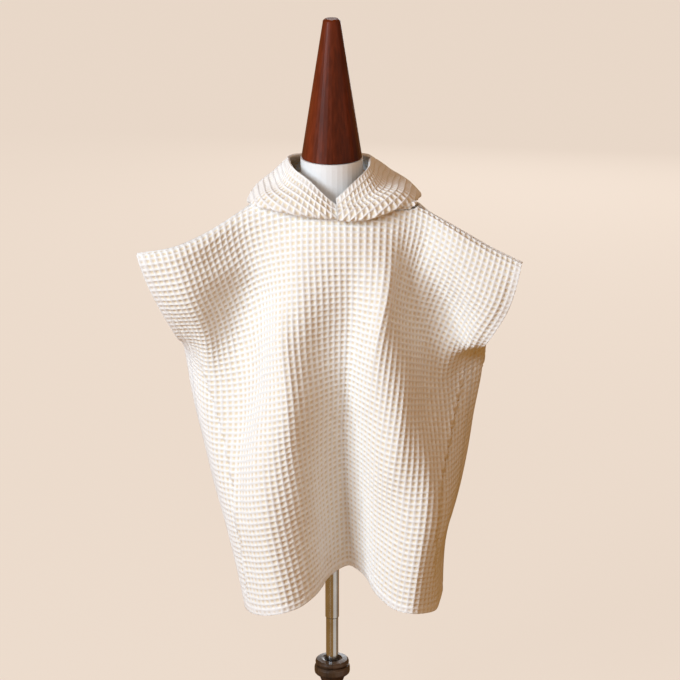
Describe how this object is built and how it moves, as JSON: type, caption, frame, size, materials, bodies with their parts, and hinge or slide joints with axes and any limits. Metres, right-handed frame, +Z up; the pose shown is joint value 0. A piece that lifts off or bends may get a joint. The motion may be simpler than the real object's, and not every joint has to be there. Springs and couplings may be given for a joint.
{
  "type": "hooded bath poncho on a dress form stand",
  "caption": "Child's hooded waffle-weave bath poncho, hanging in folds on a limbless dress form with a wooden neck cone, a chromed tube and a turned base.",
  "frame": {"origin": "centre of the base's underside, on the floor and on the stand's axis", "axes": "+Z up along the stand's axis, the front of the poncho toward -Y, +X to the right of a viewer who faces the front"},
  "size_m": [0.5286, 0.3084, 1.084],
  "materials": {
    "waffle_cotton": "matte honeycomb weave",
    "form_cover": "matte off-white",
    "red_wood": "glossy varnish",
    "dark_wood": "satin varnish",
    "chromed_tube": "polished"
  },
  "bodies": {
    "root": {"front_panel": "waffle_cotton", "back_panel": "waffle_cotton", "hood_left": "waffle_cotton", "hood_right": "waffle_cotton", "dress_form": "form_cover", "neck_cone": "red_wood", "upper_tube": "chromed_tube", "lower_tube": "chromed_tube", "hub_collar": "dark_wood", "hub_ring": "dark_wood", "base_column": "dark_wood", "base_disc": "dark_wood"}
  },
  "joints": []
}
